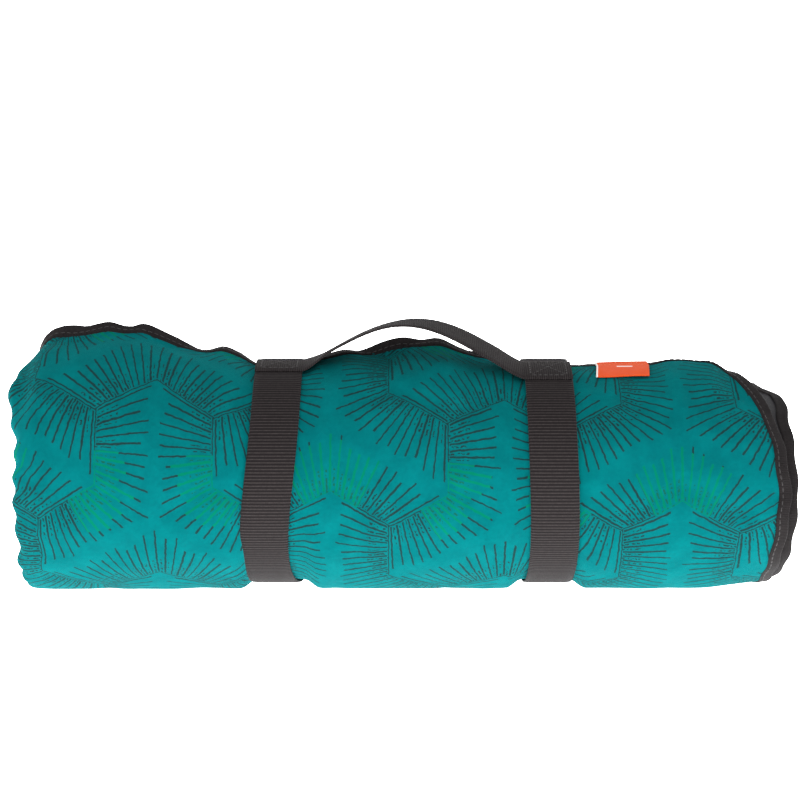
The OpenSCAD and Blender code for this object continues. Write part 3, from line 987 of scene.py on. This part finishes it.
def printed_face():
    """Teal cloth with its print of dark and green strokes, a fine weave and a soft sheen."""
    n = Nodes("printed_face")
    uv, a, b = n.cloth_place()
    wobble_a = n.times(n.minus(n.noise(uv, 330.0, 4.0), 0.5), WOBBLE)
    shifted = n.make("ShaderNodeVectorMath", operation="ADD")
    n.link(uv, shifted.inputs[0])
    shifted.inputs[1].default_value = (5.3, 2.9, 1.7)
    wobble_b = n.times(n.minus(n.noise(shifted.outputs[0], 300.0, 4.0), 0.5), WOBBLE)
    wavy_a = n.add(a, wobble_a)
    wavy_b = n.add(b, n.times(a, PRINT_SKEW), wobble_b)
    spread = math.sqrt(3) * HEX_EDGE
    third = 2 * math.pi / 3
    kinds = (
        (0.0, 0.0, (1.0, 1.0, 0.0), 1.0, 0.75),
        (-spread, third, (0.0, 1.0, 1.0), 33.0, 0.4),
        (spread, -third, (1.0, 0.0, 1.0), 71.0, 0.4),
    )
    mark, green = 0.0, 0.0
    for shift, turn, row_shares, salt, green_reach in kinds:
        across = n.add(wavy_a, shift)
        one_mark, one_green = strokes(n, uv, across, wavy_b, turn, row_shares, salt, green_reach)
        mark = n.add(mark, one_mark)
        green = n.add(green, one_green)
    cloud = n.times(n.noise(uv, 16.0, 3.0), 0.5)
    mottle = n.times(n.step(0.3, 0.7, n.noise(uv, 95.0, 4.0)), 0.5)
    grain = n.times(n.minus(n.noise(uv, 480.0, 3.0), 0.5), 0.9)
    teal = n.mix(n.add(cloud, mottle, grain), TEAL_DARK, TEAL_LIGHT)
    fleck = n.step(0.63, 0.72, n.noise(uv, 900.0, 2.0))
    teal = n.mix(n.times(fleck, 0.2), teal, FLECK)
    ink = n.mix(green, INK_DARK, INK_GREEN)
    cover = n.times(mark, n.add(0.72, n.times(n.noise(uv, 700.0, 3.0), 0.4)))
    n.paint(n.mix(n.maths("MINIMUM", cover, 1.0), teal, ink))
    height = n.add(n.times(weave(n, a, b, 0.00042), 0.5), n.noise(uv, 260.0, 4.0))
    n.bump(height, 0.0005, 0.7)
    n.shader.inputs["Sheen Tint"].default_value = (0.05, 0.95, 0.92, 1)
    return n.finish(0.85, 0.12, 0.25, 0.02)


def coated_backing():
    """Black coated cloth, smoother and a little shiny."""
    n = Nodes("coated_backing")
    uv, a, b = n.cloth_place()
    n.paint(n.mix(n.noise(uv, 60.0, 3.0), (0.008, 0.0075, 0.009, 1), (0.018, 0.017, 0.020, 1)))
    n.bump(n.add(weave(n, a, b, 0.0005), n.noise(uv, 300.0)), 0.0002, 0.5)
    return n.finish(0.5, 0.0, 0.5, 0.25)


def binding_tape():
    """Black tape with fine ribs across it."""
    n = Nodes("binding_tape")
    uv, _, b = n.cloth_place()
    n.paint(n.mix(n.noise(uv, 140.0, 3.0), (0.006, 0.0048, 0.005, 1), (0.015, 0.0125, 0.013, 1)))
    n.bump(n.add(ribs(n, b, 0.0009), n.noise(uv, 500.0, 3.0)), 0.0003, 0.6)
    return n.finish(0.8, 0.06, 0.3, 0.12)


def black_webbing(name, rib_pitch):
    """Black cross-ribbed webbing, with a painted highlight on the narrow crests of its ribs."""
    n = Nodes(name)
    uv, a, b = n.cloth_place()
    wave = n.maths("COSINE", n.times(b, 2 * math.pi / rib_pitch))
    crest = n.maths("POWER", n.times(n.add(wave, 1.0), 0.5), 2.5)
    # Painted highlight: the rib crests are coloured paler, as where light catches them.
    crest_highlight = n.times(crest, n.add(0.4, n.noise(uv, 500.0, 3.0)))
    n.paint(n.mix(crest_highlight, (0.0075, 0.0056, 0.0062, 1), (0.036, 0.030, 0.030, 1)))
    strands = ribs(n, a, 0.0008)
    n.bump(n.add(n.times(strands, 0.4), crest), 0.0003, 0.7)
    return n.finish(0.75, 0.05, 0.3, 0.12)


def hook_and_loop():
    """Dark fuzzy nap."""
    n = Nodes("hook_and_loop")
    fuzz = n.noise(n.cloth_place()[0], 2400.0, 3.0)
    n.paint(n.mix(fuzz, (0.004, 0.004, 0.004, 1), (0.03, 0.028, 0.03, 1)))
    n.bump(fuzz, 0.0006, 1.0)
    return n.finish(0.9, 0.35, 0.6, 0.2)


def sewing_thread(name, dark, light):
    """Twisted thread."""
    n = Nodes(name)
    place_node = n.make("ShaderNodeTexCoord")
    twist = n.noise(place_node.outputs["Object"], 3000.0, 2.0)
    n.paint(n.mix(twist, dark, light))
    n.bump(twist, 0.0001, 0.6)
    return n.finish(0.55, 0.1, 0.4, 0.4)


def label_cloth():
    """Orange woven satin with a plain white bar, and a white selvedge on one side."""
    n = Nodes("label_cloth")
    uv, a, b = n.cloth_place()
    ground = n.mix(n.noise(uv, 220.0, 3.0), (0.62, 0.060, 0.008, 1), (0.74, 0.086, 0.014, 1))
    bar = n.times(n.below(n.size(n.minus(a, 0.001)), 0.0042), n.below(n.size(n.minus(b, 0.0024)), 0.0010))
    side = n.below(a, -LABEL_W / 2 + 0.0009)
    n.paint(n.mix(n.maths("MAXIMUM", bar, side), ground, (0.86, 0.80, 0.76, 1)))
    n.bump(n.add(ribs(n, b, 0.0004), n.noise(uv, 900.0)), 0.00015, 0.5)
    return n.finish(0.6, 0.0, 0.3, 0.12)


# ---- camera, floor and light

def aimed(name, data, place_at, view):
    """An object for a camera or a light, at a place and looking along a direction."""
    piece = bpy.data.objects.new(name, data)
    piece.location = place_at
    piece.rotation_mode = "QUATERNION"
    piece.rotation_quaternion = view.to_track_quat("-Z", "Y")
    bpy.context.scene.collection.objects.link(piece)
    return piece


def camera():
    """A long lens in front of the roll, a little above it."""
    data = bpy.data.cameras.new("camera")
    data.sensor_width = 36.0
    distance, elevation = 1.1, math.radians(10.0)
    width_seen = 0.4325
    data.lens = data.sensor_width * distance / width_seen
    target = Vector((-0.0010, 0.0, 0.1008))
    view = Vector((0.0, math.cos(elevation), -math.sin(elevation)))
    data.clip_start, data.clip_end = 0.05, 50.0
    bpy.context.scene.camera = aimed("camera", data, target - view * distance, view)


FLOOR_SIZE = 6.0
FLOOR_GLOW = 3.2
SKY_GLOW = 1.15


def studio():
    """A plain white table lit from below, as for product pictures, under plain soft light."""
    corners = [(x * FLOOR_SIZE, y * FLOOR_SIZE, 0) for x, y in ((-1, -1), (1, -1), (1, 1), (-1, 1))]
    n = Nodes("floor")
    speckle = n.noise(n.make("ShaderNodeTexCoord").outputs["Object"], 3.0)
    n.paint(n.mix(speckle, (0.92, 0.92, 0.92, 1), (0.94, 0.94, 0.94, 1)))
    n.shader.inputs["Emission Color"].default_value = (1, 1, 1, 1)
    n.shader.inputs["Emission Strength"].default_value = FLOOR_GLOW
    floor = mesh_object("floor", corners, [(0, 1, 2, 3)], None, [n.finish(0.9)])
    world = bpy.data.worlds.new("studio")
    world.use_nodes = True
    world.node_tree.nodes["Background"].inputs["Color"].default_value = (1, 1, 1, 1)
    world.node_tree.nodes["Background"].inputs["Strength"].default_value = SKY_GLOW
    bpy.context.scene.world = world
    soft_light("front", (-0.9, -1.6, 1.3), (0.0, 0.0, 0.06), (1.2, 0.8), 1.5)
    bpy.context.scene.view_settings.view_transform = "Standard"


def soft_light(name, place_at, aim_at, size, power):
    """One soft box."""
    data = bpy.data.lights.new(name, "AREA")
    data.shape = "RECTANGLE"
    data.size, data.size_y = size
    data.energy = power
    aimed(name, data, place_at, Vector(aim_at) - Vector(place_at))


# ---- the model

def build():
    """Every piece of the blanket, attached to what it rides on, with the frame's parts it stands for
    hidden.
    """
    face, backing = printed_face(), coated_backing()
    tape = binding_tape()
    web, handle_web = black_webbing("strap_webbing", STRAP_RIB), black_webbing("handle_webbing", HANDLE_RIB)
    nap = hook_and_loop()
    thread = sewing_thread("black_thread", (0.008, 0.0065, 0.007, 1), (0.024, 0.020, 0.021, 1))
    label_thread = sewing_thread("label_thread", (0.6, 0.09, 0.02, 1), (0.9, 0.2, 0.05, 1))
    label = label_cloth()

    panel = blanket([face, backing])
    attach(panel, "blanket")
    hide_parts("face_sheet", "wadding", "backing_sheet")

    binding = edge_binding(tape)
    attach(binding, "blanket")
    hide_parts("edge_binding")

    seam = binding_seam(thread)
    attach(seam, "blanket")
    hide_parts("binding_thread")

    for side in ("left", "right"):
        dress_strap(side, web, nap, thread)
        dress_handle(side, handle_web, thread)
    dress_label(label, label_thread)


def dress_strap(side, web, nap, thread):
    """The strap, its tail, and the hook and loop between them."""
    belt = strap(side, web)
    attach(belt, "blanket")
    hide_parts("strap_" + side)
    loops = fuzzy_patch("loop_patch_" + side + "_nap", side, STRAP_D + WEBBING_T / 2 + PATCH_T / 2,
                        INNER_END_DEG + 3, TAIL_END_DEG, 1, nap)
    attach(loops, "blanket")
    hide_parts("loop_patch_" + side)
    tail, points = strap_tail(side, web)
    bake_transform(tail)
    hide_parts("strap_tail_" + side)
    hooks = fuzzy_patch("hook_patch_" + side + "_nap", side, TAIL_D - WEBBING_T / 2 - PATCH_T / 2,
                        HINGE_DEG + 12, TAIL_END_DEG - 2, -1, nap)
    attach(hooks, "tail_" + side)
    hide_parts("hook_patch_" + side)
    seam = tail_stitching(side, thread)
    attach(seam, "tail_" + side)
    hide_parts("tail_stitching_" + side)


def dress_handle(side, web, thread):
    """Half of the handle, and the stitching of its pad."""
    piece = handle_half(side, web)
    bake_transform(piece)
    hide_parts("handle_end_" + side, "handle_grip")
    seam = handle_stitching(side, thread)
    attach(seam, "blanket")
    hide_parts("handle_stitching_" + side)


def dress_label(cloth, thread):
    """The label folded over the outer end, with a loose flap in front."""
    root_v = END_Y - FRONT_Y
    root = label_strip("label_root_cloth", -0.0008, root_v, root_v, cloth)
    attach(root, "blanket")
    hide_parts("label_root")
    flap = label_strip("label_flap_cloth", root_v, root_v + FLAP_L, root_v, cloth, -0.10)
    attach(flap, "label")
    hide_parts("label_flap")
    x = np.linspace(LABEL_X - LABEL_W / 2 + 0.001, LABEL_X + LABEL_W / 2 - 0.001, 12)
    runs = []
    for v in (0.0015, root_v - 0.002):
        line = label_point(x, np.full(12, v), LABEL_GAP + LABEL_T)
        above = label_point(x, np.full(12, v), LABEL_GAP + LABEL_T + 0.001)
        runs.append(stitches_along(line, above - line, 0.0026, 0.0019))
    seam = sewn("label_seam", runs, thread)
    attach(seam, "blanket")
    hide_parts("label_stitching")


camera()
studio()
build()
